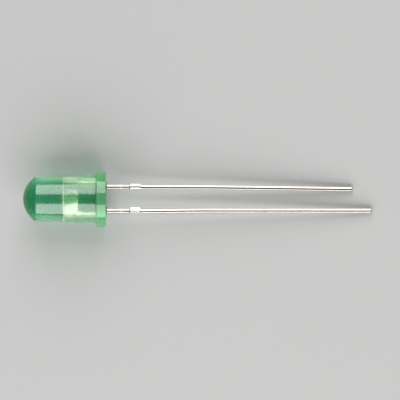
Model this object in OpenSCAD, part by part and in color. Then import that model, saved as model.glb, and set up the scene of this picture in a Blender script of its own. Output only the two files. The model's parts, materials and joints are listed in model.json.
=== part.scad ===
// Through hole LED, 5 mm round body with a domed nose, two uncut square leads.
// Everything is drawn upright first: +Z runs up the body's axis to the dome, the seat is at z = 0,
// the leads hang down and the lead frame lies in the XZ plane. lying() then puts it to rest on the
// XY plane, on the rim of its flange and the tips of both leads, with the leads towards +X.
// All sizes are in millimetres and all angles in degrees.

/* [Lens] */
// Height of the lens from the seat to the top of the dome
lens_h = 8.6; // [7.1:0.1:10.4]
// Diameter of the barrel where it stands on the flange
barrel_d = 5; // [4.8:0.1:5.6]
// Diameter of the barrel where the dome begins
nose_d = 4.7; // [4.3:0.05:4.8]
// Radius of the sphere that the dome is cut from
dome_r = 2.7; // [2.6:0.05:3.5]
// Rounding between the barrel and the dome
nose_round = 0.25; // [0.1:0.05:0.4]

/* [Flange] */
// Diameter of the flange
flange_d = 5.9; // [5.7:0.1:7.1]
// Thickness of the flange
flange_t = 1; // [0.8:0.05:1.3]
// Distance from the axis to the flat that marks the cathode
flat_x = 2.6; // [2.5:0.05:2.8]
// Bevel on the edges of the flange
edge_break = 0.06; // [0.02:0.01:0.15]
// Radius of the resin ring that climbs each lead under the seat
meniscus_r = 0.55; // [0.48:0.01:0.7]
// Height of that resin ring
meniscus_h = 0.1; // [0.05:0.01:0.3]

/* [Leads] */
// Distance between the two leads
pitch = 2.54; // [2.1:0.01:3.1]
// Width of a lead, across the frame
lead_w = 0.5; // [0.4:0.01:0.6]
// Thickness of the stamped sheet
lead_t = 0.5; // [0.4:0.01:0.6]
// Length of the short lead below the seat
short_l = 25.4; // [14:0.1:31]
// Length of the long lead below the seat
long_l = 27.4; // [16:0.1:33]
// Extra length that the slanted snip leaves on one side of the short lead
snip_slant = 0.07; // [0:0.01:0.2]

/* [Tie bar stubs] */
// Distance from the seat to the stubs
stub_z = 2.38; // [1.5:0.01:4]
// Length of a stub along its lead
stub_l = 1.08; // [0.6:0.01:1.5]
// How far a stub stands out of its lead
stub_out = 0.11; // [0.05:0.01:0.3]
// How far the cut pushed each lead sideways
jog = 0.05; // [0:0.01:0.1]
// Length of the slope at the end of a stub
jog_l = 0.3; // [0.25:0.01:0.6]
// How much the squeezed metal at a stub swells on each face
swell = 0.02; // [0.01:0.005:0.04]

/* [Bends] */
// Lean of the short lead towards the axis, from its stub to its bend
short_lean = 0.1; // [0:0.05:1]
// Lean of the short lead towards the axis, from its bend to its tip
short_bend = 0.76; // [0:0.02:1.2]
// Distance from the seat to the bend of the short lead
short_bend_z = 10.7; // [6:0.1:13]
// Lean of the long lead towards the axis, from its stub to its bend
long_lean = 0.86; // [0:0.02:1.2]
// Lean of the long lead towards the axis, from its bend to its tip
long_bend = 0.11; // [0:0.01:1]
// Distance from the seat to the bend of the long lead
long_bend_z = 9.8; // [6:0.1:14]
// Droop of the long lead out of the frame's plane, below its stub
long_droop = 0.69; // [0:0.01:1]

/* [Lead frame heads] */
// Height of the frame's top above the seat
frame_top = 4.43; // [4.1:0.01:5]
// Height of both heads
head_h = 1.5; // [1.2:0.05:2]
// How far the heads stand out past the outer sides of the leads
head_flare = 0.1; // [0:0.01:0.2]
// Bevel at the lower corners of the heads
head_bevel = 0.3; // [0.1:0.05:0.4]
// Gap between the rim of the cup and the wire post
frame_gap = 0.3; // [0.15:0.01:0.4]

/* [Reflector cup] */
// Diameter of the cup's mouth
cup_d = 1.04; // [0.9:0.02:1.3]
// Diameter of the cup's floor
cup_floor_d = 0.66; // [0.6:0.02:0.8]
// Depth of the cup
cup_depth = 0.4; // [0.3:0.02:0.5]
// Thickness of the wall at the cup's rim
cup_wall = 0.16; // [0.1:0.01:0.25]
// Height of the coined cone that carries the cup
cup_cone_h = 1.3; // [0.8:0.05:1.3]
// Diameter of that cone at its foot, where it runs out inside the sheet
cup_foot_d = 0.44; // [0.3:0.02:0.44]

/* [Chip and wire] */
// Side of the square chip
chip_w = 0.3; // [0.2:0.02:0.36]
// Height of the chip
chip_h = 0.2; // [0.1:0.01:0.25]
// Thickness of the conductive glue under the chip
glue_t = 0.02; // [0.01:0.005:0.04]
// Height of the bead of glue round the foot of the chip
bead_h = 0.06; // [0.04:0.01:0.1]
// Diameter of the bond wire
wire_d = 0.03; // [0.02:0.005:0.05]
// Diameter of the ball that bonds the wire to the chip
ball_d = 0.09; // [0.06:0.01:0.12]
// Thickness of that ball
ball_h = 0.03; // [0.02:0.005:0.05]
// Radius of the wire's bend over the chip
wire_rise_r = 0.25; // [0.15:0.01:0.35]
// Radius of the wire's bend over the post
wire_fall_r = 0.4; // [0.2:0.01:0.5]
// Height of the wire's loop above the frame
loop_h = 0.42; // [0.42:0.01:0.8]

/* [Hidden] */
$fn = 96;
EPS = 0.01;           // overhang of a cutter past the face that it cuts
SEAM = 0.0001;        // lets a rounding's circle cross the lines that it blends with
BURY = 0.1;           // depth of one piece of a lead inside the next

// Lens
flange_r = flange_d / 2;
dome_z = lens_h - dome_r;
shoulder = [nose_d / 2, dome_z + sqrt(dome_r * dome_r - nose_d * nose_d / 4)];
barrel_foot = [barrel_d / 2, flange_t];
side = (shoulder - barrel_foot) / norm(shoulder - barrel_foot);
inward = [-side.y, side.x];
// The rounding's centre lies nose_round inside both the barrel's side and the dome's sphere.
nose_start = shoulder + nose_round * inward - [0, dome_z];
nose_along = nose_start * side;
nose_slide = nose_along
    - sqrt(nose_along * nose_along - nose_start * nose_start + pow(dome_r - nose_round, 2));
nose_c = shoulder + nose_round * inward - nose_slide * side;
nose_on_side = nose_c - nose_round * inward;
nose_on_dome = [0, dome_z] + (nose_c - [0, dome_z]) * dome_r / (dome_r - nose_round);

// Lead frame: the cathode stands at -X, on the flat's side, and the anode at +X
lead_x = pitch / 2;
head_z = frame_top - head_h;
head_out = lead_x + lead_w / 2 + head_flare;
cup_r = cup_d / 2;
rim_r = cup_r + cup_wall;
anvil_in = rim_r - cup_wall / 2;
post_in = rim_r + frame_gap;
stub_end = stub_z + stub_l;
jog_end = stub_end + jog_l;
run_z = jog_end - BURY;

// Chip and wire
cup_floor_z = frame_top - cup_depth;
chip_z = cup_floor_z + glue_t;
chip_top = chip_z + chip_h;
loop_z = frame_top + loop_h;
post_land = (post_in + head_out) / 2;

// Tips of the leads, then the corners of those tips that touch the surface they lie on
short_x = -lead_x + jog + tan(short_lean) * (short_bend_z - run_z)
    + tan(short_bend) * (short_l - short_bend_z);
long_x = lead_x + jog - tan(long_lean) * (long_bend_z - run_z)
    - tan(long_bend) * (long_l - long_bend_z);
short_corner = [short_x - lead_w / 2, -lead_t / 2, -short_l];
function drooped(p) = let (y = p.y, z = p.z + run_z)
    [p.x, y * cos(long_droop) + z * sin(long_droop),
     z * cos(long_droop) - y * sin(long_droop) - run_z];
long_corner = drooped([long_x - lead_w / 2, -lead_t / 2, -long_l]);

// Rest: the plane through both corners that just touches the edge of the flange
span = long_corner - short_corner;
slope_x = span.x / span.z;
slope_y = span.y / span.z;
lever_x = short_corner.x - (short_corner.z - edge_break) * slope_x;
lever_y = short_corner.y - (short_corner.z - edge_break) * slope_y;
roll = atan2(lever_x, lever_y) + acos(-flange_r / norm([lever_x, lever_y]));
tilt = atan(-(slope_x * sin(roll) + slope_y * cos(roll)));
seat_rise = flange_r * cos(tilt) - edge_break * sin(tilt);
// The model is centred between the dome and the upper edge of the long lead's tip.
tip_top = drooped([long_x + lead_w / 2, lead_t / 2, -long_l]);
tip_high = tip_top.x * sin(roll) + tip_top.y * cos(roll);
low_x = -dome_z * cos(tilt) - dome_r;
high_x = -tip_top.z * cos(tilt) + tip_high * sin(tilt);
centre_x = (low_x + high_x) / 2;

// Lays the upright part down, rolled about its axis and with its tips on the surface.
module lying() {
    translate([-centre_x, 0, seat_rise])
        rotate([0, tilt, 0])
            rotate([90, 0, -90])
                rotate([0, 0, roll])
                    children();
}

// Half section of the lens: flange, tapered barrel, rounded shoulder and dome.
module lens_section() {
    polygon([
        [0, 0],
        [flange_r - edge_break, 0],
        [flange_r, edge_break],
        [flange_r, flange_t - edge_break],
        [flange_r - edge_break, flange_t],
        barrel_foot,
        nose_on_side,
        nose_c,
        nose_on_dome,
        [0, nose_on_dome.y],
    ]);
    translate(nose_c)
        circle(nose_round + SEAM);
    intersection() {
        translate([0, dome_z])
            circle(dome_r);
        translate([0, nose_on_dome.y])
            square([dome_r, dome_r]);
    }
}

// The cast block of resin, before the frame is taken out of it.
module resin() {
    difference() {
        rotate_extrude()
            lens_section();
        translate([-flat_x - flange_d, -flange_r, -EPS])
            cube([flange_d, flange_d, flange_t + 2 * EPS]);
    }
    for (x = [-lead_x, lead_x])
        translate([x, 0, -meniscus_h])
            cylinder(h = meniscus_h + EPS, r1 = meniscus_r - meniscus_h, r2 = meniscus_r);
}

// A plate stamped to an outline drawn in x and z, centred on the frame's plane.
module stamped(thickness) {
    rotate([90, 0, 0])
        linear_extrude(thickness, center = true)
            children();
}

// Outline of a lead from its head down to the inside of its stub.
module shank(x) {
    translate([x - lead_w / 2, -stub_end + BURY])
        square([lead_w, stub_end - BURY + head_z + BURY]);
}

// Outline of the stub that is left of the tie bar, with the sideways step below it.
module stub(x) {
    half = lead_w / 2;
    polygon([
        [x - half - stub_out, -stub_z],
        [x + half + swell, -stub_z],
        [x + half + swell, -stub_end + BURY],
        [x + jog + half + swell, -jog_end + 1.5 * BURY],
        [x + jog + half + swell, -jog_end],
        [x + jog - half - swell, -jog_end],
        [x + jog - half - swell, -jog_end + 1.5 * BURY],
        [x - half - stub_out, -stub_end],
    ]);
}

// Outline of a lead from inside its stub, through its bend, to its snipped tip.
module run(start_x, bend_x, bend_z, tip_x, tip_z, slant) {
    half = lead_w / 2;
    polygon([
        [start_x - half, -run_z],
        [bend_x - half, -bend_z],
        [tip_x - half, -tip_z],
        [tip_x + half, -tip_z + slant],
        [bend_x + half, -bend_z],
        [start_x + half, -run_z],
    ]);
}

// Head of the anode, which reaches across the axis to carry the cup.
module anvil_outline() {
    polygon([
        [lead_x - lead_w / 2, head_z],
        [lead_x + lead_w / 2, head_z],
        [head_out, head_z + head_bevel],
        [head_out, frame_top],
        [-anvil_in, frame_top],
        [-anvil_in, head_z + head_bevel / 2],
        [-anvil_in + head_bevel / 2, head_z],
    ]);
}

// Head of the cathode, which the bond wire lands on.
module post_outline() {
    polygon([
        [-lead_x + lead_w / 2, head_z],
        [-post_in, head_z + head_bevel],
        [-post_in, frame_top],
        [-head_out, frame_top],
        [-head_out, head_z + head_bevel],
        [-lead_x - lead_w / 2, head_z],
    ]);
}

module cathode_shape() {
    stamped(lead_t) {
        post_outline();
        shank(-lead_x);
    }
    stamped(lead_t + 2 * swell)
        stub(-lead_x);
    stamped(lead_t)
        run(-lead_x + jog,
            -lead_x + jog + tan(short_lean) * (short_bend_z - run_z), short_bend_z,
            short_x, short_l, snip_slant);
}

module anode_shape() {
    difference() {
        union() {
            stamped(lead_t) {
                anvil_outline();
                shank(lead_x);
            }
            translate([0, 0, frame_top - cup_cone_h])
                cylinder(h = cup_cone_h, r1 = cup_foot_d / 2, r2 = rim_r);
        }
        cup();
    }
    stamped(lead_t + 2 * swell)
        stub(lead_x);
    translate([0, 0, -run_z])
        rotate([-long_droop, 0, 0])
            translate([0, 0, run_z])
                stamped(lead_t)
                    run(lead_x + jog,
                        lead_x + jog - tan(long_lean) * (long_bend_z - run_z), long_bend_z,
                        long_x, long_l, 0);
}

// Space inside the reflector cup, carried a little past its mouth.
module cup() {
    floor_r = cup_floor_d / 2;
    flare = (cup_r - floor_r) / cup_depth;
    translate([0, 0, cup_floor_z])
        cylinder(h = cup_depth + EPS, r1 = floor_r, r2 = cup_r + flare * EPS);
}

module chip_shape() {
    translate([-chip_w / 2, -chip_w / 2, chip_z])
        cube([chip_w, chip_w, chip_h]);
}

// Glue under the chip, with the bead that creeps a little way up its sides.
module glue_shape() {
    corner_r = chip_w / sqrt(2);
    difference() {
        translate([0, 0, cup_floor_z])
            cylinder(h = bead_h, r1 = corner_r + bead_h, r2 = corner_r + EPS);
        chip_shape();
    }
}

// A quarter turn of wire in the frame's plane. It starts upright at the origin and ends level.
module wire_quarter(r) {
    translate([-r, 0, 0])
        rotate([90, 0, 0])
            rotate_extrude(angle = 90)
                translate([r, 0])
                    circle(d = wire_d);
}

// The wire rises from its ball, bends over, crosses the gap and comes down on the post.
module wire_shape() {
    rise = loop_z - wire_rise_r - chip_top;
    fall = loop_z - wire_fall_r - frame_top;
    level = post_land - wire_rise_r - wire_fall_r;
    translate([0, 0, chip_top])
        cylinder(h = ball_h, d = ball_d);
    translate([0, 0, chip_top + ball_h / 2])
        cylinder(h = rise - ball_h / 2, d = wire_d);
    translate([0, 0, loop_z - wire_rise_r])
        wire_quarter(wire_rise_r);
    translate([-wire_rise_r - level, 0, loop_z])
        rotate([0, 90, 0])
            cylinder(h = level, d = wire_d);
    translate([-post_land, 0, loop_z - wire_fall_r])
        mirror([1, 0, 0])
            wire_quarter(wire_fall_r);
    translate([-post_land, 0, frame_top])
        cylinder(h = fall, d = wire_d);
    translate([-post_land, 0, frame_top])
        cylinder(h = ball_h / 2, d = ball_d);
}

module lens() {
    color("mediumseagreen", 0.6)
        lying()
            difference() {
                resin();
                cathode_shape();
                anode_shape();
                chip_shape();
                glue_shape();
                wire_shape();
            }
}

module cathode_lead() {
    color("silver")
        lying()
            cathode_shape();
}

module anode_lead() {
    color("silver")
        lying()
            anode_shape();
}

module led_chip() {
    color("khaki")
        lying()
            chip_shape();
}

module die_attach() {
    color("lightgrey")
        lying()
            glue_shape();
}

module bond_wire() {
    color("gold")
        lying()
            wire_shape();
}

lens();
cathode_lead();
anode_lead();
led_chip();
die_attach();
bond_wire();
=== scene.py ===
"""Through hole LED: a green cast lens on two square tinned leads, lying on a pale table."""

import json
import math
from collections import namedtuple

import bmesh
import bpy
from mathutils import Matrix, Vector


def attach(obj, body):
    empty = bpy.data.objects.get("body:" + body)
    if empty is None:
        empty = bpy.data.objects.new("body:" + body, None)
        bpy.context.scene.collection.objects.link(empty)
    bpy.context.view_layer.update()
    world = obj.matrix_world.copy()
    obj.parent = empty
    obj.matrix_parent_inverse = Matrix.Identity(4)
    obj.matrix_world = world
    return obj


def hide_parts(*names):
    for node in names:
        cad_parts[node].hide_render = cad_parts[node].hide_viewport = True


bl_info = {
    "name": "Through Hole LED",
    "version": (1, 0, 0),
    "blender": (4, 5, 0),
    "location": "View3D > Sidebar > LED",
    "description": "Builds a 5 mm round LED with its lead frame, chip and studio",
    "category": "Object",
}

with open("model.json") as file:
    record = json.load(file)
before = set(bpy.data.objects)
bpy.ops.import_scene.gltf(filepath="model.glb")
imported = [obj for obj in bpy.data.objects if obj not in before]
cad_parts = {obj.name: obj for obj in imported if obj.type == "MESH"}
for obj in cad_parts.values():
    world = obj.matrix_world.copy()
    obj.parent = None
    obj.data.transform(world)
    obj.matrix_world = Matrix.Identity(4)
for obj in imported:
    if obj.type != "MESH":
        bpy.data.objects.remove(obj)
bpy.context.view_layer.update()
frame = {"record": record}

MM = 0.001  # metres in a millimetre; pieces are drawn upright in millimetres and laid down last
FINE = 1e-5  # lengths on the bench under which two points or sizes are one
JOIN = 1e-4  # distance under which the doubled points of a turned outline are merged

# -------- place of the part in the row frame


def mount(name):
    """Place and axis of one of the packed record's mounts."""
    row = next(m for m in frame["record"]["mounts"] if m["name"] == name)
    return Vector(row["pos_m"]), Vector(row["axis"])


def lying():
    """Matrix that lays an upright drawing in millimetres down where the packed model lies."""
    seat, away = mount("seat")
    up = -away.normalized()
    across = mount("anode_pin")[0] - mount("cathode_pin")[0]
    across = (across - across.dot(up) * up).normalized()
    front = up.cross(across)
    axes = Matrix((across, front, up)).transposed().to_4x4()
    return Matrix.Translation(seat) @ axes @ Matrix.Scale(MM, 4)


def mm(length):
    """A length property, held in metres, as millimetres on the bench."""
    return length / MM


# -------- sizes and colours a user would change


def number(name, description, default, **how):
    return bpy.props.FloatProperty(name=name, description=description, default=default, **how)


def length(name, description, default):
    """A length property. default is in millimetres."""
    return number(name, description, default * MM, min=0.0, precision=5,
                  subtype="DISTANCE", unit="LENGTH")


def angle(name, description, default):
    """An angle property. default is in degrees."""
    return number(name, description, math.radians(default), subtype="ANGLE", unit="ROTATION")


def share(name, description, default, top=1.0):
    """A plain number from nothing to top."""
    return number(name, description, default, min=0.0, max=top,
                  subtype="FACTOR" if top == 1.0 else "NONE")


def colour(name, description, default):
    """A colour property without alpha."""
    return bpy.props.FloatVectorProperty(name=name, description=description, default=default,
                                         size=3, min=0.0, max=1.0, subtype="COLOR")


class LensSizes(bpy.types.PropertyGroup):
    """Sizes and colours of the cast resin."""

    height: length("Height", "From the seat to the top of the dome", 8.6)
    barrel: length("Barrel", "Diameter of the barrel at the flange", 5.0)
    nose: length("Nose", "Diameter of the barrel where the dome begins", 4.7)
    dome: length("Dome radius", "Radius of the sphere that the dome is cut from", 2.7)
    nose_round: length("Nose rounding", "Rounding between the barrel and the dome", 0.25)
    flange: length("Flange", "Diameter of the flange", 5.9)
    flange_height: length("Flange height", "Thickness of the flange", 1.0)
    flat: length("Flat", "Distance from the axis to the flat beside the cathode", 2.6)
    edge: length("Edge", "Rounding of the flange's edges", 0.06)
    fillet: length("Fillet", "Rounding between the flange and the barrel", 0.09)
    line: length("Hairline", "Height of the mould's hairline above the seat", 4.38)
    ring: length("Resin ring", "Radius of the resin that climbs each lead", 0.46)
    ring_height: length("Ring height", "How far that resin climbs", 0.08)
    # Painted shade: these colours make the resin clear on its upper side and deep on its underside
    # and on top of the dome, less deep under the barrel near the flange.
    clear: colour("Clear side", "Tint of the resin's skin on the upper side", (0.96, 1.0, 0.95))
    deep: colour("Deep side", "Tint of the resin's skin on the underside", (0.01, 0.62, 0.36))
    back: colour("Back", "Tint of the underside near the flange", (0.006, 1.0, 0.42))
    dome_painted_shade: colour("Dome side", "Tint of the skin on top of the dome", (0.004, 0.57, 0.2))
    rim: colour("Flange tint", "Tint of the resin's skin on the flange", (0.17, 0.8, 0.34))
    # Painted shade: a duller, darker colour on the seat and on the collars round the leads.
    crept: colour("Collar tint", "Tint of the resin that climbed the leads", (0.2, 0.5, 0.3))
    # Painted highlight: the hairline's pale colour makes a bright band round the barrel over its
    # small ridge.
    hairline: colour("Hairline tint", "Tint of the mould's hairline", (0.85, 1.0, 0.85))
    haze: share("Flange haze", "How milky the flange is", 0.3)
    depth: colour("Depth", "Colour that light keeps on its way through", (0.2, 0.75, 0.13))
    density: share("Density", "How fast light fades on its way through, per metre", 160.0, 9999.0)
    gloss: share("Gloss", "Specular level of the bare resin", 0.12)
    coat: share("Coat", "Refractive index of the coat on the barrel and the flange", 1.74, 4.0)


class LeadSizes(bpy.types.PropertyGroup):
    """Sizes and colours of the two leads."""

    pitch: length("Pitch", "Distance between the leads", 2.54)
    width: length("Width", "Width of a lead across the frame", 0.5)
    sheet: length("Sheet", "Thickness of the stamped sheet", 0.5)
    short: length("Short lead", "Length of the cathode below the seat", 25.4)
    long: length("Long lead", "Length of the anode below the seat", 27.4)
    short_corner: length("Short lead's corners", "Rounding of the short lead's edges", 0.078)
    short_crown: length("Short lead's crown", "How far the middle of its faces stands out", 0.028)
    short_twist: angle("Short lead's twist", "Turn of the short lead about its own length", 12.3)
    long_corner: length("Long lead's corners", "Rounding of the long lead's edges", 0.15)
    long_crown: length("Long lead's crown", "How far the middle of its faces stands out", 0.004)
    stub: length("Stub", "Distance from the seat to the tie bar's stubs", 2.38)
    stub_length: length("Stub length", "Length of a stub along its lead", 1.08)
    stub_out: length("Stub height", "How far a stub stands out of its lead", 0.11)
    tin: colour("Tin", "Colour of the tinned faces", (0.6, 0.57, 0.53))
    pressed: colour("Pressed tin", "Colour of the tin that a tool squeezed", (0.82, 0.81, 0.77))
    silver: colour("Silver", "Colour of the plating inside the resin", (0.98, 0.96, 0.92))
    # Painted glow: the cone's plating is tinted green to stand in for light glowing in the resin
    # round the cup.
    coined: colour("Coined plating", "Colour of the plating on the cup's cone", (0.6, 0.98, 0.72))
    steel: colour("Steel", "Colour of the bare sheared faces", (0.5, 0.48, 0.45))


class HeadSizes(bpy.types.PropertyGroup):
    """Sizes and colours of what sits inside the resin."""

    top: length("Top", "Height of the frame's top above the seat", 4.43)
    head: length("Head", "Height of both heads", 1.5)
    flare: length("Flare", "How far the heads stand out past the leads", 0.1)
    bevel: length("Bevel", "Bevel at the lower corners of the heads", 0.3)
    cup: length("Cup", "Diameter of the cup's mouth", 1.04)
    cup_floor: length("Cup floor", "Diameter of the cup's floor", 0.66)
    cup_depth: length("Cup depth", "Depth of the cup", 0.4)
    cup_wall: length("Cup wall", "Thickness of the wall at the cup's rim", 0.16)
    gap: length("Gap", "Gap between the cup's rim and the wire post", 0.3)
    chip: length("Chip", "Side of the square chip", 0.3)
    chip_height: length("Chip height", "Height of the chip", 0.2)
    wire: length("Wire", "Diameter of the bond wire", 0.03)
    loop: length("Loop", "Height of the wire's loop above the frame", 0.42)
    crystal: colour("Crystal", "Colour of the chip", (0.72, 0.62, 0.28))
    glue: colour("Glue", "Colour of the silver glue", (0.62, 0.62, 0.6))
    gold: colour("Gold", "Colour of the wire and its pads", (0.95, 0.72, 0.32))


class StageSizes(bpy.types.PropertyGroup):
    """The table, the two softboxes and the camera."""

    floor: colour("Table", "Colour of the table", (0.6, 0.6, 0.595))
    world: share("Room light", "Brightness of the dim room", 0.1)
    soft: share("Softbox brightness", "Radiance of each softbox", 2.75, 20.0)
    box_distance: length("Softbox distance", "From the part to a softbox's edges", 400.0)
    far_length: length("Far softbox length", "Length of the far softbox along the part", 300.0)
    near_length: length("Near softbox length", "Length of the near softbox along the part", 560.0)
    far_from: angle("Far box from", "Inner edge of the far softbox, off the vertical", 23.0)
    far_to: angle("Far box to", "Outer edge of the far softbox, off the vertical", 74.0)
    near_from: angle("Near box from", "Inner edge of the near softbox, off the vertical", 24.0)
    near_to: angle("Near box to", "Outer edge of the near softbox, off the vertical", 80.0)
    height: length("Camera distance", "From the part's axis to the camera", 600.0)
    field: length("Field", "Width that the camera sees at the part's axis", 41.33)


def sizes(group):
    """The sizes of the lens, the leads, the heads or the stage."""
    return getattr(bpy.context.scene, f"led_{group}")


# -------- bench tools


def add(operator, name, **how):
    """Adds an object with nothing else selected, and names it."""
    bpy.ops.object.select_all(action="DESELECT")
    operator(**how)
    piece = bpy.context.active_object
    piece.name = name
    piece.data.name = name
    return piece


def choose(piece):
    """Makes the piece the only selected object."""
    bpy.ops.object.select_all(action="DESELECT")
    piece.select_set(True)
    bpy.context.view_layer.objects.active = piece


def everything():
    bpy.ops.mesh.select_all(action="SELECT")


def edit(piece):
    """Goes into edit mode with all of the piece selected."""
    choose(piece)
    bpy.ops.object.mode_set(mode="EDIT")
    everything()


def done():
    bpy.ops.object.mode_set(mode="OBJECT")


def pick(piece, kind, wanted):
    """In edit mode, selects the VERTs, EDGEs or FACEs that wanted() says, and nothing else."""
    bpy.ops.mesh.select_mode(type=kind)
    bpy.ops.mesh.select_all(action="DESELECT")
    mesh = bmesh.from_edit_mesh(piece.data)
    found = [part for part in {"VERT": mesh.verts, "EDGE": mesh.edges, "FACE": mesh.faces}[kind]
             if wanted(part)]
    for part in found:
        part.select_set(True)
    bmesh.update_edit_mesh(piece.data)
    return len(found)


def give(piece, *finishes):
    piece.data.materials.clear()
    for finish in finishes:
        piece.data.materials.append(finish)


def assign(piece, index, wanted):
    """In edit mode, gives the faces that wanted() says one of the piece's finishes."""
    if not pick(piece, "FACE", wanted):
        raise RuntimeError(f"{piece.name} has no faces for its finish {index}")
    piece.active_material_index = index
    bpy.ops.object.material_slot_assign()


def extrude(step):
    bpy.ops.mesh.extrude_region_move(TRANSFORM_OT_translate={"value": step})


def move(step):
    bpy.ops.transform.translate(value=step)


def resize(size, centre=(0, 0, 0)):
    bpy.ops.transform.resize(value=size, center_override=centre)


def rotate(angle, axis, centre):
    if angle:
        bpy.ops.transform.rotate(value=angle, orient_axis=axis, center_override=centre)


def close(inside=False):
    """Turns every face outwards, or inwards for what is seen from inside, and leaves edit mode."""
    everything()
    bpy.ops.mesh.normals_make_consistent(inside=inside)
    done()


def combine(piece, tool, operation):
    """Welds a second shape on, or cuts it out, and throws the second shape away."""
    choose(piece)
    bpy.ops.object.modifier_add(type="BOOLEAN")
    cut = piece.modifiers[-1]
    cut.operation = operation
    cut.object = tool
    cut.solver = "EXACT"
    bpy.ops.object.modifier_apply(modifier=cut.name)
    bpy.data.objects.remove(tool)


def lay_down(piece, node, smooth=30.0):
    """Lays the finished piece down and hides its CAD node."""
    choose(piece)
    bpy.ops.object.shade_smooth_by_angle(angle=math.radians(smooth))
    piece.matrix_world = lying()
    bpy.ops.object.transform_apply(location=True, rotation=True, scale=True)
    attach(piece, "root")
    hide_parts(node)


def draw(name, points):
    """A chain of edges through points given as x and z."""
    piece = add(bpy.ops.mesh.primitive_plane_add, name, size=1)
    edit(piece)
    bpy.ops.mesh.select_mode(type="VERT")
    bpy.ops.mesh.merge(type="CENTER")
    move((points[0][0], 0, points[0][1]))
    for (x0, z0), (x1, z1) in zip(points, points[1:]):
        bpy.ops.mesh.extrude_vertices_move(TRANSFORM_OT_translate={"value": (x1 - x0, 0, z1 - z0)})
    return piece


def turn(steps, inside=False):
    """Spins the outline that was just drawn once round the axis and closes it."""
    everything()
    bpy.ops.mesh.spin(steps=steps, angle=math.tau, center=(0, 0, 0), axis=(0, 0, 1))
    everything()
    bpy.ops.mesh.remove_doubles(threshold=JOIN)
    close(inside)


def arc(centre, radius, start, end, steps):
    """Points on an arc, both ends with it. Angles are in degrees."""
    turns = [math.radians(start + (end - start) * i / steps) for i in range(steps + 1)]
    return [(centre[0] + radius * math.cos(t), centre[1] + radius * math.sin(t)) for t in turns]


# A cross-section of a bar that runs up or down: its height, its four sides, its corner rounding,
# how far the middle of each side stands out, its slant and its twist about the bar.
Section = namedtuple(
    "Section", "z left right front back corner crown slant twist", defaults=(0.0, 0.0, 0.0))

QUARTER = 0.75  # share of the crown that a side has half way from its middle to its corner
SIDES = ((-1, 0), (1, 0), (0, -1), (0, 1))
CORNERS = ((-1, -1), (-1, 1), (1, -1), (1, 1))


def middle(section):
    z, left, right, front, back = section[:5]
    return Vector(((left + right) / 2, (front + back) / 2, z))


def half_size(section):
    return Vector(((section.right - section.left) / 2, (section.back - section.front) / 2))


def crown_side(piece, members, centre, side, shift, rise):
    """Moves one side of the selected ring outwards, and its middle further than its quarters."""
    mesh = bmesh.from_edit_mesh(piece.data)
    mesh.verts.ensure_lookup_table()
    across = Vector((side[1], side[0], 0))
    out = Vector((side[0], side[1], 0))
    central = min(members, key=lambda i: abs((mesh.verts[i].co - centre).dot(across)))
    for chosen_ones, share_of_rise in (({central}, 1.0), (members - {central}, QUARTER)):
        pick(piece, "VERT", lambda v: v.index in chosen_ones)
        move((shift + share_of_rise * rise) * out)


def bar_start(name, section, profile):
    """The first end of a bar: a rounded square face whose sides are slightly crowned."""
    piece = add(bpy.ops.mesh.primitive_plane_add, name, size=1)
    half = half_size(section)
    edit(piece)
    resize((2 * half.x, 2 * half.y, 1))
    bpy.ops.mesh.bevel(offset=section.corner, segments=5, profile=profile, affect="VERTICES")
    pick(piece, "EDGE", lambda e: e.calc_length() > min(half) - section.corner)
    bpy.ops.mesh.subdivide(number_cuts=3)
    for side in SIDES:
        mesh = bmesh.from_edit_mesh(piece.data)
        members = {v.index for v in mesh.verts if on_side(v.co, half, section.corner, side)}
        crown_side(piece, members, Vector(), side, 0.0, section.crown)
    everything()
    move(middle(section))
    rotate(section.twist, "Z", middle(section))
    bpy.ops.mesh.select_mode(type="FACE")
    return piece


def on_side(place, half, corner, side):
    """Whether a point, seen from the ring's middle, belongs to a side and not to its corners."""
    across = abs(place.x * side[1]) + abs(place.y * side[0])
    room = (half.x if side[1] else half.y) - corner - FINE
    return across < room and place.x * side[0] + place.y * side[1] > 0


def bar_on(piece, old, new):
    """Extrudes the bar's selected end from one section to the next."""
    rotate(-old.slant, "Y", middle(old))
    rotate(-old.twist, "Z", middle(old))
    extrude(middle(new) - middle(old))
    half = half_size(old)
    grow = half_size(new) - half
    rise = new.crown - old.crown
    keeps_corner = abs(new.corner - old.corner) < FINE
    if grow.length > FINE or abs(rise) > FINE or not keeps_corner:
        centre = middle(new)
        mesh = bmesh.from_edit_mesh(piece.data)
        ring = {v.index: v.co - centre for v in mesh.verts if v.select}
        sides = {side: {i for i, place in ring.items() if on_side(place, half, old.corner, side)}
                 for side in SIDES}
        loose = {i: place for i, place in ring.items()
                 if not any(i in members for members in sides.values())}
        ends = {end: {i for i, place in loose.items()
                      if place.x * end[0] > 0 and place.y * end[1] > 0} for end in CORNERS}
        for side, members in sides.items():
            shift = grow.x if side[0] else grow.y
            if abs(shift) > FINE or abs(rise) > FINE:
                crown_side(piece, members, centre, side, shift, rise)
        for end, members in ends.items():
            pick(piece, "VERT", lambda v: v.index in members)
            if not keeps_corner:
                size = new.corner / old.corner
                resize((size, size, 1), centre + Vector((end[0] * half.x, end[1] * half.y, 0)))
            move((end[0] * grow.x, end[1] * grow.y, 0))
        pick(piece, "FACE", lambda f: {v.index for v in f.verts} == set(ring))
    rotate(new.twist, "Z", middle(new))
    rotate(new.slant, "Y", middle(new))


def bar(name, sections, profile=0.5):
    """A bar through the sections, closed at both ends."""
    piece = bar_start(name, sections[0], profile)
    for old, new in zip(sections, sections[1:]):
        bar_on(piece, old, new)
    close()
    return piece


# -------- finishes

WEAK, STRONG = 0.3, 0.7  # range of values that a pattern fills


def put(near, kind, **inputs):
    """A node in the same tree as a socket or another node, with some inputs set or linked."""
    node = near.id_data.nodes.new(kind)
    set_all(node, **inputs)
    return node


def set_all(node, **inputs):
    for key, value in inputs.items():
        wire(value, node.inputs[key.replace("_", " ")])


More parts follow.
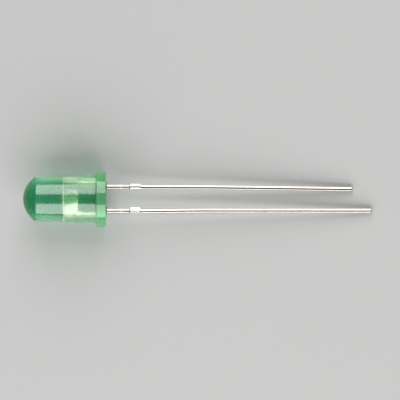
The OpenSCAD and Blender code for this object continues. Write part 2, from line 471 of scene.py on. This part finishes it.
def wire(value, socket):
    """Sets a socket to a value, or links it if the value is another node's output."""
    if isinstance(value, bpy.types.NodeSocket):
        socket.id_data.links.new(value, socket)
    else:
        socket.default_value = value


def fresh(name):
    """A new material with its shader and its place in millimetres."""
    made = bpy.data.materials.new(name)
    made.use_nodes = True
    shader = made.node_tree.nodes["Principled BSDF"]
    place = put(shader, "ShaderNodeTexCoord").outputs["Object"]
    return made, shader, scaled(place, (1 / MM,) * 3)


def scaled(place, scale):
    return put(place, "ShaderNodeMapping", Vector=place, Scale=scale).outputs["Vector"]


def noise(place, scale, detail=3.0, roughness=0.5, stretch=None):
    """Noise with a scale per millimetre, stretched along the axes if stretch says how."""
    if stretch:
        place = scaled(place, stretch)
    return put(place, "ShaderNodeTexNoise", Vector=place, Scale=scale, Detail=detail,
               Roughness=roughness).outputs["Fac"]


def between(fac, low, high, start=WEAK, end=STRONG):
    """Carries a pattern or a height from its range start to end to the range low to high."""
    return put(fac, "ShaderNodeMapRange", Value=fac, From_Min=start, From_Max=end,
               To_Min=low, To_Max=high).outputs["Result"]


def blend(fac, first, second):
    """Two colours laid out over a pattern."""
    ramp = put(fac, "ShaderNodeValToRGB", Fac=fac)
    weak, strong = ramp.color_ramp.elements
    weak.position, strong.position = WEAK, STRONG
    weak.color, strong.color = (*first, 1), (*second, 1)
    return ramp.outputs["Color"]


def shaded(fac, darkest, colour):
    """A colour that falls to a share of itself over a pattern."""
    return blend(fac, tuple(darkest * c for c in colour), colour)


def bump(height, distance, under=None):
    """Relief of a given height in metres."""
    node = put(height, "ShaderNodeBump", Height=height, Distance=distance, Strength=1.0)
    if under:
        wire(under, node.inputs["Normal"])
    return node.outputs["Normal"]


def reckon(operation, *values, kind="ShaderNodeMath"):
    """The outcome of a sum on values or, with another kind of node, on vectors."""
    node = put(values[0], kind)
    node.operation = operation
    for socket, value in zip(node.inputs, values):
        wire(value, socket)
    return node.outputs["Value"]


def height_above_seat(place):
    """Distance from the seat towards the dome, in millimetres."""
    seat, away = mount("seat")
    height = reckon("DOT_PRODUCT", place, -away, kind="ShaderNodeVectorMath")
    return reckon("ADD", height, seat.dot(away) / MM)


def mixed(fac, first, second, how="MIX"):
    """Two colours put together by a mix node. The factor or the first is a node's output."""
    node = put(first if isinstance(fac, float) else fac, "ShaderNodeMix")
    node.data_type = "RGBA"
    node.blend_type = how
    for index, value in ((0, fac), (6, first), (7, second)):
        wire(value, node.inputs[index])
    return node.outputs[2]


def resin_finish(lens):
    """Green tinted epoxy, clear and glossy. Its colour holds painted light: the underside and the
    top of the dome are tinted deeper, and the underside near the flange less deep, as painted
    shade; the seat and the collars round the leads are tinted duller and darker, as painted shade;
    and a pale band at the hairline is a painted highlight.

    The mould polished the barrel and the flange harder than the dome, which leaves a coat on them.
    """
    made, shader, place = fresh("cast_resin")
    cloud = noise(place, 0.5, detail=4.0, roughness=0.6)
    grain = noise(place, 9.0, detail=2.0)
    flow = noise(place, 1.2, detail=2.0, stretch=(0.35, 1.0, 1.0))
    height = put(place, "ShaderNodeSeparateXYZ", Vector=place).outputs["Z"]
    axial = height_above_seat(place)
    shoulder = nose_height(lens)

    def above(start, end):
        """Nothing under the height start, one over the height end, in millimetres."""
        return between(axial, 0.0, 1.0, start, end)

    # Painted highlight: a pale band round the barrel over the hairline's small ridge, made partly
    # milky so that its pale colour shows.
    line = reckon("COMPARE", axial, mm(lens.line), LINE_HALF)
    # Painted shade: the skin's colour goes by height, clear on top and deep underneath, deep on top
    # of the dome and less deep under the barrel near the flange.
    upper = mixed(above(shoulder - 0.1, shoulder + 0.8), (*lens.clear, 1), (*lens.dome_painted_shade, 1))
    under = mixed(above(2.0, 4.0), (*lens.back, 1), (*lens.deep, 1))
    tint_and_painted_light = mixed(between(height, 0.0, 1.0, 2.0, 3.6), under, upper)
    tint_and_painted_light = mixed(above(0.9, 1.15), (*lens.rim, 1), tint_and_painted_light)
    # Painted shade: the seat and the collars round the leads take the duller, darker colour.
    tint_and_painted_light = mixed(above(-0.02, 0.03), (*lens.crept, 1), tint_and_painted_light)
    tint_and_painted_light = mixed(line, tint_and_painted_light, (*lens.hairline, 1))
    clouds = blend(cloud, (0.96, 0.985, 0.965), (1, 1, 1))
    hairline_highlight_haze = between(line, 0.0, 0.4, 0.0, 1.0)
    haze = reckon("MAXIMUM", between(axial, lens.haze, 0.0, 0.9, 1.1), hairline_highlight_haze)
    matt_flange = between(axial, 0.5, 0.0, 0.9, 1.1)
    set_all(
        shader,
        Base_Color=mixed(1.0, tint_and_painted_light, clouds, how="MULTIPLY"),
        Roughness=reckon("MAXIMUM", between(grain, 0.25, 0.32), matt_flange),
        IOR=1.53,
        Specular_IOR_Level=lens.gloss,
        Transmission_Weight=between(haze, 1.0, 0.0, 0.0, 1.0),
        Coat_Weight=between(axial, 1.0, 0.0, shoulder - 0.03, shoulder + 0.03),
        Coat_Roughness=0.03,
        Coat_IOR=lens.coat,
        Normal=bump(flow, 0.000002),
    )
    depth = put(shader, "ShaderNodeVolumeAbsorption", Color=(*lens.depth, 1), Density=lens.density)
    wire(depth.outputs["Volume"], made.node_tree.nodes["Material Output"].inputs["Volume"])
    return made


def patterned(name, colour, darkest, rough, *reliefs, metallic=1.0, ior=1.5, **pattern):
    """A finish whose colour and roughness follow one noise pattern.

    The colour falls to the share darkest of itself, and rough is the roughness at either end.
    A relief is its height in metres and its own pattern, or None for the same one again.
    """
    made, shader, place = fresh(name)
    marks = noise(place, **pattern)
    set_all(
        shader,
        Base_Color=shaded(marks, darkest, colour),
        Metallic=metallic,
        Roughness=between(marks, *rough),
        IOR=ior,
    )
    normal = None
    for height, own in reliefs:
        normal = bump(noise(place, **own) if own else marks, height, under=normal)
    if normal:
        wire(normal, shader.inputs["Normal"])
    return made


def tin_finish(leads):
    """Bright tin with fine drawing lines along the lead and a few duller patches."""
    pits = {"scale": 11.0, "detail": 2.0}
    lines = {"scale": 1.0, "stretch": (1.2, 26.0, 26.0)}
    return patterned("bright_tin", leads.tin, 0.9, (0.22, 0.16), (6e-7, pits), (1e-6, lines),
                     scale=0.8, detail=4.0, roughness=0.6)


def silver_finish(leads, name, rough):
    """Satin silver plating on the part of the frame that sits inside the resin."""
    satin = {"scale": 30.0, "detail": 2.0}
    return patterned(name, leads.silver, 0.92, (rough + 0.07, rough), (1e-6, satin),
                     scale=2.0, detail=4.0, roughness=0.6)


def coined_glow_finish(leads):
    """The dull plating of the cup's coined cone, tinted green as a painted glow of the light in the
    resin round the cup.
    """
    return patterned("glow_tinted_plating", leads.coined, 0.9, (0.75, 0.65), metallic=0.5, scale=3.0)


def pressed_finish(leads):
    """Tin left duller where the trimming tool squeezed the leads."""
    return patterned("pressed_tin", leads.pressed, 0.8, (0.3, 0.42), (4e-6, None),
                     scale=1.0, stretch=(9.0, 5.0, 9.0))


def steel_finish(leads):
    """Bare sheared steel, with the shear's scores across it."""
    return patterned("sheared_steel", leads.steel, 0.7, (0.34, 0.5), (8e-6, None),
                     scale=1.0, stretch=(30.0, 6.0, 30.0))


def crystal_finish(heads):
    """The chip's polished crystal, with the fine lines of its saw cuts."""
    return patterned("sawn_crystal", heads.crystal, 0.75, (0.2, 0.35), (2e-6, None),
                     metallic=0.0, ior=2.4, scale=1.0, detail=2.0, stretch=(60.0, 4.0, 60.0))


def gold_finish(heads):
    """Bright drawn gold."""
    return patterned("drawn_gold", heads.gold, 0.85, (0.16, 0.26), scale=30.0, detail=2.0)


def glue_finish(heads):
    """Silver filled glue, with its flakes."""
    made, shader, place = fresh("flaked_glue")
    flakes = put(place, "ShaderNodeTexVoronoi", Vector=place, Scale=55.0).outputs["Color"]
    value = put(flakes, "ShaderNodeRGBToBW", Color=flakes).outputs["Val"]
    set_all(
        shader,
        Base_Color=shaded(value, 0.6, heads.glue),
        Metallic=0.7,
        Roughness=between(value, 0.35, 0.6),
        Normal=bump(value, 0.000003),
    )
    return made


def table_finish(stage):
    """A pale satin table top with very faint clouds."""
    made, shader, place = fresh("table_top")
    clouds = noise(place, 2.0, detail=4.0)
    set_all(
        shader,
        Base_Color=shaded(clouds, 0.985, stage.floor),
        Roughness=0.3,
        Specular_IOR_Level=0.8,
    )
    return made


# -------- lens

LINE_HALF = 0.035  # half the width of the mould's hairline
LINE_RISE = 0.006  # how far the hairline stands out

# The dish of the seat, as shares of the flange's radius and the rise there.
DISH = ((0, 0.035), (0.25, 0.032), (0.5, 0.022), (0.75, 0.008), (0.88, 0))


def nose_height(lens):
    """Height above the seat at which the barrel's side meets the dome's sphere, in millimetres."""
    dome, nose = mm(lens.dome), mm(lens.nose) / 2
    return mm(lens.height) - dome + math.sqrt(dome * dome - nose * nose)


def lens_outline(lens):
    """Half section of the lens as x and z, from the middle of the seat to the top of the dome."""
    height, dome, rounding = mm(lens.height), mm(lens.dome), mm(lens.nose_round)
    flange, thick = mm(lens.flange) / 2, mm(lens.flange_height)
    edge, fillet = mm(lens.edge), mm(lens.fillet)
    barrel, nose = mm(lens.barrel) / 2, mm(lens.nose) / 2
    dome_z = height - dome
    shoulder = Vector((nose, nose_height(lens)))
    foot = Vector((barrel, thick))
    side = (shoulder - foot).normalized()
    inward = Vector((-side.y, side.x))
    # The rounding's centre lies its radius inside both the barrel's side and the dome's sphere.
    start = shoulder + rounding * inward - Vector((0, dome_z))
    along = start.dot(side)
    slide = along - math.sqrt(along * along - start.dot(start) + (dome - rounding) ** 2)
    centre = shoulder + rounding * inward - slide * side
    side_angle = math.degrees(math.atan2(-inward.y, -inward.x))
    dome_angle = math.degrees(math.atan2(centre.y - dome_z, centre.x))
    points = [(part * flange, rise) for part, rise in DISH] + [(flange - 1.6 * edge, 0)]
    points += arc((flange - edge, edge), edge, -90, 0, 5)
    points += [(flange, edge + 0.04), (flange, thick - edge - 0.04)]
    points += arc((flange - edge, thick - edge), edge, 0, 90, 5)
    points += [(flange - 1.6 * edge, thick), (barrel + 1.6 * fillet, thick)]
    points += arc((barrel + fillet, thick + fillet), fillet, -90, -180, 5)
    foot = Vector((barrel, thick + fillet))
    end = centre - rounding * inward
    tall = end.y - foot.y
    line = mm(lens.line) - foot.y
    hairline = [(line + step * LINE_HALF, rise)
                for step, rise in ((-2, 0), (-1, LINE_RISE), (1, LINE_RISE), (2, 0))]
    for level, rise in ((0.02, 0), (1.2, 0), *hairline, (4.6, 0), (tall - 0.06, 0)):
        points.append(tuple(foot + (end - foot) * level / tall - rise * inward))
    points += arc(centre, rounding, side_angle, dome_angle, 7)
    points += arc((0, dome_z), dome, dome_angle, 90, 26)[1:]
    return points


def resin_ring(lens, x):
    """The collar of resin that crept down a lead before it set."""
    outer, deep = mm(lens.ring), mm(lens.ring_height)
    ring = draw("resin_ring", [
        (0, 0.2), (outer, 0.2), (outer, 0.01), (outer - 0.02, -0.2 * deep),
        (outer - 0.06, -0.55 * deep), (outer - 0.1, -0.9 * deep), (outer - 0.14, -deep),
        (0, -deep)])
    turn(48)
    edit(ring)
    move((x, 0, 0))
    done()
    return ring


def mould_lens():
    lens, leads = sizes("lens"), sizes("leads")
    piece = draw("green_lens", lens_outline(lens))
    turn(128)
    edit(piece)
    bpy.ops.mesh.bisect(
        plane_co=(-mm(lens.flat), 0, 0), plane_no=(-1, 0, 0), use_fill=True, clear_outer=True)
    done()
    for x in (-mm(leads.pitch) / 2, mm(leads.pitch) / 2):
        combine(piece, resin_ring(lens, x), "UNION")
    give(piece, resin_finish(lens))
    lay_down(piece, "lens", smooth=24.0)


# -------- leads

JOG = 0.05  # how far the cut of the tie bar pushed each lead sideways
JOG_LENGTH = 0.3  # length of the slope at the end of a stub
SWELL = 0.02  # how much the squeezed metal at a stub swells on each face
TIP_ROUND = 0.03  # rounding of the snipped tips
NOTCH = 0.012  # depth of the notch that the shear left above each stub
SHEAR = math.radians(-12)  # slant of the stubs' upper ends
LEAN_START = 3.66  # distance from the seat at which the leads begin to lean
PINCH_LOW, PINCH_HIGH = -1.6, -1.48  # ends of the ring that a clamp pinched round each lead
PINCH_RISE = 0.012  # how far that ring stands out
ANVIL_CORNER, POST_CORNER = 0.05, 0.16  # rounding of the edges of the two heads
CONE_FOOT = 0.36  # radius of the foot of the cup's coined cone
TIN, STEEL, SILVER, PRESSED, COINED = range(5)  # places of the finishes on a lead

# The top of a head, as steps down from it and how far it is drawn in there: a groove and a rim.
HEAD_TOP = ((0.4, 0), (0.17, 0), (0.15, 0.02), (0.12, 0.02), (0.1, 0), (0.05, 0), (0.015, 0.015),
            (0, 0.05))

# The four sides of a lead: the rounding of their corners, how far the middle of each stands out,
# and their twist about the lead.
Edge = namedtuple("Edge", "corner crown twist")


def lean(degrees):
    return math.tan(math.radians(degrees))


def run_line(x, first, second, bend, droop):
    """Middle of a lead below its stub, as a function of the height.

    It leans by first degrees down to the bend, by second below it, and droops all the way.
    """

    def at(z):
        down = -z
        if down <= LEAN_START:
            return Vector((x + JOG, 0))
        upper = min(down, bend) - LEAN_START
        lower = max(down - bend, 0)
        return Vector((x + JOG + lean(first) * upper + lean(second) * lower,
                       -lean(droop) * (down - LEAN_START)))
    return at


def square(leads, edge, z, at, shrink=0.0, slant=0.0):
    """A section of a lead's own size round a point, drawn in on each side by shrink."""
    inset = edge.crown + shrink
    half, sheet = mm(leads.width) / 2 - inset, mm(leads.sheet) / 2 - inset
    return Section(z, at.x - half, at.x + half, at.y - sheet, at.y + sheet,
                   edge.corner, edge.crown, slant, edge.twist)


def below(leads, tip, line, edge, snip):
    """Sections from a lead's snipped tip up to its stub."""
    end = mm(leads.stub) + mm(leads.stub_length) + JOG_LENGTH
    steps = 24
    levels = [(up * TIP_ROUND, shrink * TIP_ROUND)
              for up, shrink in ((0.0, 1.0), (0.5, 0.3), (1.5, 0.0), (2.5, 0.0), (6.0, 0.0))]
    levels += [((tip - end) * step / steps, 0.0) for step in range(1, steps + 1)]
    return [square(leads, edge, up - tip, line(up - tip), shrink, 0.0 if up else snip)
            for up, shrink in levels]


def past_stub(leads, x, edge):
    """Sections over the stub that is left of the tie bar, from its lower end to the seat."""
    half, sheet = mm(leads.width) / 2, mm(leads.sheet) / 2
    top, out = -mm(leads.stub), mm(leads.stub_out)
    bottom = top - mm(leads.stub_length)

    def at(z, left, right=SWELL, swell=SWELL, corner=0.06, crown=0.0, slant=0.0):
        """A section with its sides moved outwards by left, right and swell."""
        depth = sheet + swell - crown
        return Section(z, x - half - left + crown, x + half + right - crown, -depth, depth,
                       corner, crown, slant, edge.twist)

    own = {"corner": edge.corner, "crown": edge.crown}
    plain = {"left": 0.0, "right": 0.0, "swell": 0.0, **own}
    pinched = {"left": PINCH_RISE, "right": PINCH_RISE, "swell": PINCH_RISE, **own}
    return [
        at(bottom - 0.12, 0.04 - JOG / 2, JOG / 2 + SWELL, SWELL / 2, 0.12, edge.crown / 2),
        at(bottom - 0.02, out - 0.02),
        at(bottom + 0.04, out),
        at(bottom + 0.2, out),
        at(top - 0.3, out, slant=SHEAR),
        at(top - 0.1, out, slant=SHEAR),
        at(top - 0.06, out - 0.02, SWELL - 0.01, SWELL - 0.01, slant=SHEAR),
        at(top, 0.04, 0.0, -NOTCH, slant=SHEAR),
        at(top + 0.05, 0.01, 0.0, 0.0, slant=SHEAR / 2, **own),
        at(top + 0.12, **plain),
        at(PINCH_LOW - 0.2, **plain),
        at(PINCH_LOW - 0.06, **plain),
        at(PINCH_LOW, **pinched),
        at(PINCH_HIGH, **pinched),
        at(PINCH_HIGH + 0.06, **plain),
        at(PINCH_HIGH + 0.18, **plain),
        at(-0.6, **plain),
        at(0.0, **plain),
    ]


def head_sections(leads, heads, x, inner, step, edge):
    """Sections of a head: from the seat up the shank, out to the head's sides and to its top.

    inner is the side nearest to the axis. step says that the head juts out towards the axis at
    its foot, as the anvil does and the post doesn't.
    """
    half, sheet = mm(leads.width) / 2, mm(leads.sheet) / 2
    top, bevel = mm(heads.top), mm(heads.bevel)
    foot = top - mm(heads.head)
    sign = 1 if x > 0 else -1
    rounding, bevel_in = (ANVIL_CORNER, bevel / 2) if step else (POST_CORNER, bevel)

    def at(z, inside, outside, shrink=0.0):
        low, high = sorted((inside, outside))
        return Section(z, low + shrink, high - shrink, -sheet + shrink, sheet - shrink, rounding)

    shank_in, shank_out = x - sign * half, x + sign * half
    outer = shank_out + sign * mm(heads.flare)
    start_in = inner + sign * bevel_in if step else shank_in
    sections = [square(leads, edge, foot - 0.6, Vector((x, 0)))]
    sections += [at(foot - down, shank_in, shank_out) for down in (0.3, 0.05, 0.0)]
    if step:
        sections.append(at(foot + 0.01, start_in, shank_out + sign * 0.003))
    for level in sorted({bevel_in, bevel}):
        part_in = min(level / bevel_in, 1)
        sections.append(at(foot + level, start_in + (inner - start_in) * part_in,
                           shank_out + (outer - shank_out) * level / bevel))
    return sections + [at(top - down, inner, outer, inset) for down, inset in HEAD_TOP]


def dress(piece, leads, tip, x, finishes):
    """In millimetres and upright, gives each zone of a lead its own finish.

    The tip and the stub's cut face are bare steel, what a tool squeezed is pressed tin, and what
    sits inside the resin is plated.
    """
    side = x - mm(leads.width) / 2 - mm(leads.stub_out) + 0.015
    top = -mm(leads.stub)
    low = top - mm(leads.stub_length) - 0.02

    def cut(face):
        place = face.calc_center_median()
        return place.z < -tip + 0.02 or (place.x < side and low < place.z < top)

    def squeezed(face):
        z = face.calc_center_median().z
        on_stub = low < z < top - 0.09
        on_ring = PINCH_LOW - 0.02 < z < PINCH_HIGH + 0.02
        return face.material_index == TIN and (on_stub or on_ring)

    give(piece, *finishes)
    edit(piece)
    assign(piece, STEEL, cut)
    assign(piece, SILVER, lambda f: f.calc_center_median().z > 0.3)
    assign(piece, PRESSED, squeezed)
    done()


def coined(piece, heads):
    """In millimetres and upright, gives the outside of the cup's cone its duller plating, which
    holds a painted glow.
    """
    rim = mm(heads.cup) / 2 + mm(heads.cup_wall)
    foot = mm(heads.top) - mm(heads.head)

    def on_cone(face):
        place, normal = face.calc_center_median(), face.normal
        away = Vector((place.x, place.y, 0))
        faces_out = away.dot(normal) > 0.5 * away.length and -0.9 < normal.z < -0.1
        return place.z > foot and away.length < rim + FINE and faces_out

    edit(piece)
    assign(piece, COINED, on_cone)
    done()


def short_lead(finishes):
    """The cathode: a plain wire post inside the resin, a bend half way down and a slanted snip."""
    leads, heads = sizes("leads"), sizes("heads")
    x = -mm(leads.pitch) / 2
    edge = Edge(mm(leads.short_corner), mm(leads.short_crown), leads.short_twist)
    line = run_line(x, first=0.1, second=0.76, bend=10.7, droop=0.0)
    inner = -(mm(heads.cup) / 2 + mm(heads.cup_wall) + mm(heads.gap))
    sections = [*below(leads, mm(leads.short), line, edge, snip=math.radians(8)),
                *past_stub(leads, x, edge), *head_sections(leads, heads, x, inner, False, edge)]
    piece = bar("short_lead", sections, profile=0.36)
    dress(piece, leads, mm(leads.short), x, finishes)
    lay_down(piece, "cathode_lead")


def cup_cone(heads):
    """The coined cone that carries the cup, and the space inside the cup."""
    top, mouth, wall = mm(heads.top), mm(heads.cup) / 2, mm(heads.cup_wall)
    rim, foot = mouth + wall, top - mm(heads.head) + 0.04
    cone = draw("cup_cone", [
        (0, foot), (CONE_FOOT - 0.03, foot), (CONE_FOOT, foot + 0.03), (rim - 0.03, top - 0.1),
        (rim, top - 0.06), (rim, top - 0.03), (rim - 0.01, top - 0.01), (rim - 0.035, top),
        (0, top)])
    turn(72)
    floor, deep = mm(heads.cup_floor) / 2, mm(heads.cup_depth)
    space = draw("cup_space", [
        (0, top - deep), (floor - 0.04, top - deep), (floor - 0.01, top - deep + 0.012),
        (floor, top - deep + 0.04), (mouth - 0.01, top - 0.03), (mouth + 0.015, top + 0.01),
        (mouth + 0.015, top + 0.1), (0, top + 0.1)])
    turn(72)
    return cone, space


def long_lead(finishes):
    """The anode: an anvil that carries the reflector cup, and a droop that lets both tips touch."""
    leads, heads = sizes("leads"), sizes("heads")
    x = mm(leads.pitch) / 2
    edge = Edge(mm(leads.long_corner), mm(leads.long_crown), 0.0)
    line = run_line(x, first=-0.86, second=-0.11, bend=9.8, droop=0.69)
    inner = -(mm(heads.cup) / 2 + mm(heads.cup_wall) / 2)
    sections = [*below(leads, mm(leads.long), line, edge, snip=0.0),
                *past_stub(leads, x, edge), *head_sections(leads, heads, x, inner, True, edge)]
    piece = bar("long_lead", sections)
    cone, space = cup_cone(heads)
    combine(piece, cone, "UNION")
    combine(piece, space, "DIFFERENCE")
    dress(piece, leads, mm(leads.long), x, finishes)
    coined(piece, heads)
    lay_down(piece, "anode_lead")


# -------- chip, glue and wire

GLUE_THICK = 0.02  # glue under the chip
BEAD = 0.06  # height of the bead of glue round the chip
BALL = 0.09  # diameter of the ball that bonds the wire
BALL_HEIGHT = 0.03  # thickness of that ball
RISE, FALL = 0.25, 0.4  # radii of the wire's bends over the chip and over the post


def cut_chip(heads, crystal, gold):
    """The chip: a sawn base, a narrower etched top and a round pad for the wire."""
    side, tall = mm(heads.chip), mm(heads.chip_height)
    foot = mm(heads.top) - mm(heads.cup_depth) + GLUE_THICK
    piece = add(bpy.ops.mesh.primitive_cube_add, "chip", size=1)
    edit(piece)
    resize((side, side, 0.7 * tall))
    move((0, 0, foot + 0.35 * tall))
    pick(piece, "EDGE", lambda e: abs(e.verts[0].co.z - e.verts[1].co.z) > FINE)
    bpy.ops.mesh.bevel(offset=0.012, segments=2, affect="EDGES")
    pick(piece, "FACE", lambda f: f.normal.z > 0.9)
    etched = ((0, 0.86), (0.3 * tall, 0.94), (0, 0.92), (-0.003, 0.98))
    pad = ((0, 0.36), (0.004, 0.97))
    for rise, size in etched + pad:
        extrude((0, 0, rise))
        resize((size, size, 1))
    done()
    give(piece, crystal, gold)
    edit(piece)
    assign(piece, 1, lambda f: f.normal.z > 0.9 and f.calc_center_median().xy.length < 0.06
           and f.calc_center_median().z > foot + 0.9 * tall)
    done()
    lay_down(piece, "led_chip")


def spread_glue(heads, glue):
    """The glue under the chip, which crept a little way up its sides and out over the floor."""
    corner = mm(heads.chip) / math.sqrt(2)
    foot = mm(heads.top) - mm(heads.cup_depth)
    bead = [(corner + out * BEAD, foot + up * BEAD)
            for out, up in ((1, 0), (0.8, 0.35), (0.4, 0.8), (0, 1))]
    piece = draw("silver_glue", [(0, foot), *bead, (0, foot + BEAD)])
    turn(40)
    edit(piece)
    pick(piece, "VERT", lambda v: v.co.z > foot + 0.2 * BEAD and v.co.xy.length > 0.1)
    bpy.ops.transform.vertex_random(offset=0.008, uniform=0.3, seed=5)
    done()
    give(piece, glue)
    lay_down(piece, "die_attach", smooth=60.0)


def bond_wire(heads, gold):
    """The wire: a flattened ball on the chip, a loop over the gap and a flat foot on the post."""
    leads = sizes("leads")
    radius = mm(heads.wire) / 2
    top = mm(heads.top)
    chip_top = top - mm(heads.cup_depth) + GLUE_THICK + mm(heads.chip_height)
    loop = top + mm(heads.loop)
    post_in = mm(heads.cup) / 2 + mm(heads.cup_wall) + mm(heads.gap)
    post_out = mm(leads.pitch) / 2 + mm(leads.width) / 2 + mm(heads.flare)
    land = (post_in + post_out) / 2
    path = [(0.0, chip_top + BALL_HEIGHT), (0.0, loop - RISE)]
    path += arc((-RISE, loop - RISE), RISE, 0, 90, 9)[1:]
    path += arc((-land + FALL, loop - FALL), FALL, 90, 180, 11)
    path += [(-land, top + BALL_HEIGHT / 2)]
    path = [Vector((x, 0, z)) for x, z in path]
    here = path[0]
    wide = 0.6  # width of the ball where it stands on the chip, as a share of its widest
    piece = add(bpy.ops.mesh.primitive_circle_add, "gold_bond_wire", vertices=14,
                radius=wide * BALL / 2, fill_type="NGON", location=(0, 0, 0))
    edit(piece)
    bpy.ops.mesh.select_mode(type="FACE")
    move((0, 0, chip_top))
    for rise, size in ((0.25, 1.0), (0.5, 0.85), (0.25, 0.5)):
        extrude((0, 0, rise * BALL_HEIGHT))
        resize((size / wide,) * 3, here)
        wide = size
    resize((radius / (wide * BALL / 2),) * 3, here)
    heading, down = Vector((0, 0, 1)), Vector((0, 0, -1))
    for there, onward in zip(path[1:], path[2:] + [None]):
        extrude(there - here)
        facing = down
        if onward is not None:
            facing = ((onward - there).normalized() + (there - here).normalized()).normalized()
        swing = math.atan2(heading.x * facing.z - heading.z * facing.x, heading.dot(facing))
        rotate(swing, "Y", there)
        heading, here = facing, there
    for drop, size in ((0.0, 1.6), (0.25, 2.6), (0.25, 3.0), (0.0, 2.4)):
        extrude(drop * BALL_HEIGHT * down)
        centre, now = end_size(piece)
        resize((size * radius / now,) * 3, centre)
    close()
    give(piece, gold)
    lay_down(piece, "bond_wire", smooth=50.0)


def end_size(piece):
    """In edit mode, the middle and the radius of the selected end."""
    mesh = bmesh.from_edit_mesh(piece.data)
    found = [v.co for v in mesh.verts if v.select]
    centre = sum(found, Vector()) / len(found)
    return centre, max((place - centre).length for place in found)


# -------- stage


def build_table(stage):
    """A round table top that curves up into a pale wall all round."""
    flat, bend, high = 0.75, 0.35, 0.75
    outline = [(0, 0), (flat * 0.5, 0), (flat, 0)]
    outline += arc((flat, bend), bend, -90, 0, 10)[1:]
    outline += [(flat + bend, high)]
    table = draw("table", outline)
    turn(72, inside=True)
    choose(table)
    bpy.ops.object.shade_smooth_by_angle(angle=math.radians(40))
    give(table, table_finish(stage))


def hang_softbox(stage, name, side, start, end, long):
    """A softbox beside the part, between two angles off the vertical."""
    centre = (start + end) / 2
    half = (end - start) / 2
    width = 2 * stage.box_distance * math.sin(half)
    away = stage.box_distance * math.cos(half)
    lamp = add(bpy.ops.object.light_add, name, type="AREA", rotation=(-side * centre, 0, 0),
               location=(0, side * away * math.sin(centre), away * math.cos(centre)))
    lamp.data.shape = "RECTANGLE"
    lamp.data.size = long
    lamp.data.size_y = width
    lamp.data.energy = stage.soft * math.pi * long * width
    lamp.visible_camera = False


AIM_DOWN, AIM_ASIDE = 0.009684, -0.000114  # metres from the seat to the middle of the view
SENSOR = 36.0  # width of the camera's sensor in millimetres


def set_camera(stage):
    """A long lens above the part, looking straight across the part's axis."""
    seat, away = mount("seat")
    side = Vector((0, 1, 0))
    back = away.cross(side)
    aim = seat + AIM_DOWN * away + AIM_ASIDE * side
    camera = add(bpy.ops.object.camera_add, "camera", location=aim + stage.height * back)
    camera.rotation_euler = Matrix((away, side, back)).transposed().to_euler()
    camera.data.sensor_width = SENSOR
    camera.data.lens = SENSOR * stage.height / stage.field
    camera.data.clip_start = 0.01
    camera.data.clip_end = 10.0
    bpy.context.scene.camera = camera


def set_stage():
    stage = sizes("stage")
    build_table(stage)
    hang_softbox(stage, "far_softbox", 1, stage.far_from, stage.far_to, stage.far_length)
    hang_softbox(stage, "near_softbox", -1, stage.near_from, stage.near_to, stage.near_length)
    world = bpy.data.worlds.new("dim_room")
    world.use_nodes = True
    room = world.node_tree.nodes["Background"]
    set_all(room, Color=(1, 1, 1, 1), Strength=stage.world)
    bpy.context.scene.world = world
    bpy.context.scene.view_settings.view_transform = "Standard"
    set_camera(stage)


# -------- operators


class Step:
    """What all the steps share."""

    bl_options = {"REGISTER", "UNDO"}


class LED_OT_mould_lens(Step, bpy.types.Operator):
    """Mould the flanged lens with its flat, its dome and the resin rings on the leads"""

    bl_idname = "led.mould_lens"
    bl_label = "Mould the lens"

    def execute(self, context):
        mould_lens()
        return {"FINISHED"}


class LED_OT_form_leads(Step, bpy.types.Operator):
    """Form both leads with their stubs, bends, snipped tips, heads and reflector cup"""

    bl_idname = "led.form_leads"
    bl_label = "Form the leads"

    def execute(self, context):
        leads = sizes("leads")
        tin, steel, pressed = tin_finish(leads), steel_finish(leads), pressed_finish(leads)
        short_lead([tin, steel, silver_finish(leads, "bright_plating", 0.34), pressed])
        satin = silver_finish(leads, "silver_plating", 0.41)
        long_lead([tin, steel, satin, pressed, coined_glow_finish(leads)])
        return {"FINISHED"}


class LED_OT_bond_chip(Step, bpy.types.Operator):
    """Glue the chip into the cup and bond its wire to the post"""

    bl_idname = "led.bond_chip"
    bl_label = "Bond the chip"

    def execute(self, context):
        heads = sizes("heads")
        gold = gold_finish(heads)
        cut_chip(heads, crystal_finish(heads), gold)
        spread_glue(heads, glue_finish(heads))
        bond_wire(heads, gold)
        return {"FINISHED"}


class LED_OT_set_stage(Step, bpy.types.Operator):
    """Set the pale table, the two softboxes, the dim room and the camera"""

    bl_idname = "led.set_stage"
    bl_label = "Set the stage"

    def execute(self, context):
        set_stage()
        return {"FINISHED"}


class LED_PT_sidebar(bpy.types.Panel):
    """Lists the steps and the sizes of the LED"""

    bl_idname = "LED_PT_sidebar"
    bl_label = "Through Hole LED"
    bl_space_type = "VIEW_3D"
    bl_region_type = "UI"
    bl_category = "LED"

    def draw(self, context):
        layout = self.layout
        for step in STEPS:
            layout.operator(step.bl_idname, text=step.bl_label)
        for name, group in GROUPS.items():
            box = layout.box()
            box.label(text=group.__doc__)
            for key in group.__annotations__:
                box.prop(getattr(context.scene, name), key)


GROUPS = {
    "led_lens": LensSizes, "led_leads": LeadSizes, "led_heads": HeadSizes, "led_stage": StageSizes,
}
STEPS = (LED_OT_mould_lens, LED_OT_form_leads, LED_OT_bond_chip, LED_OT_set_stage)
CLASSES = (*GROUPS.values(), *STEPS, LED_PT_sidebar)


def register():
    for each in CLASSES:
        bpy.utils.register_class(each)
    for name, group in GROUPS.items():
        setattr(bpy.types.Scene, name, bpy.props.PointerProperty(type=group))


def unregister():
    for name in GROUPS:
        delattr(bpy.types.Scene, name)
    for each in reversed(CLASSES):
        bpy.utils.unregister_class(each)


def main():
    register()
    bpy.ops.led.mould_lens()
    bpy.ops.led.form_leads()
    bpy.ops.led.bond_chip()
    bpy.ops.led.set_stage()


if __name__ == "__main__":
    main()
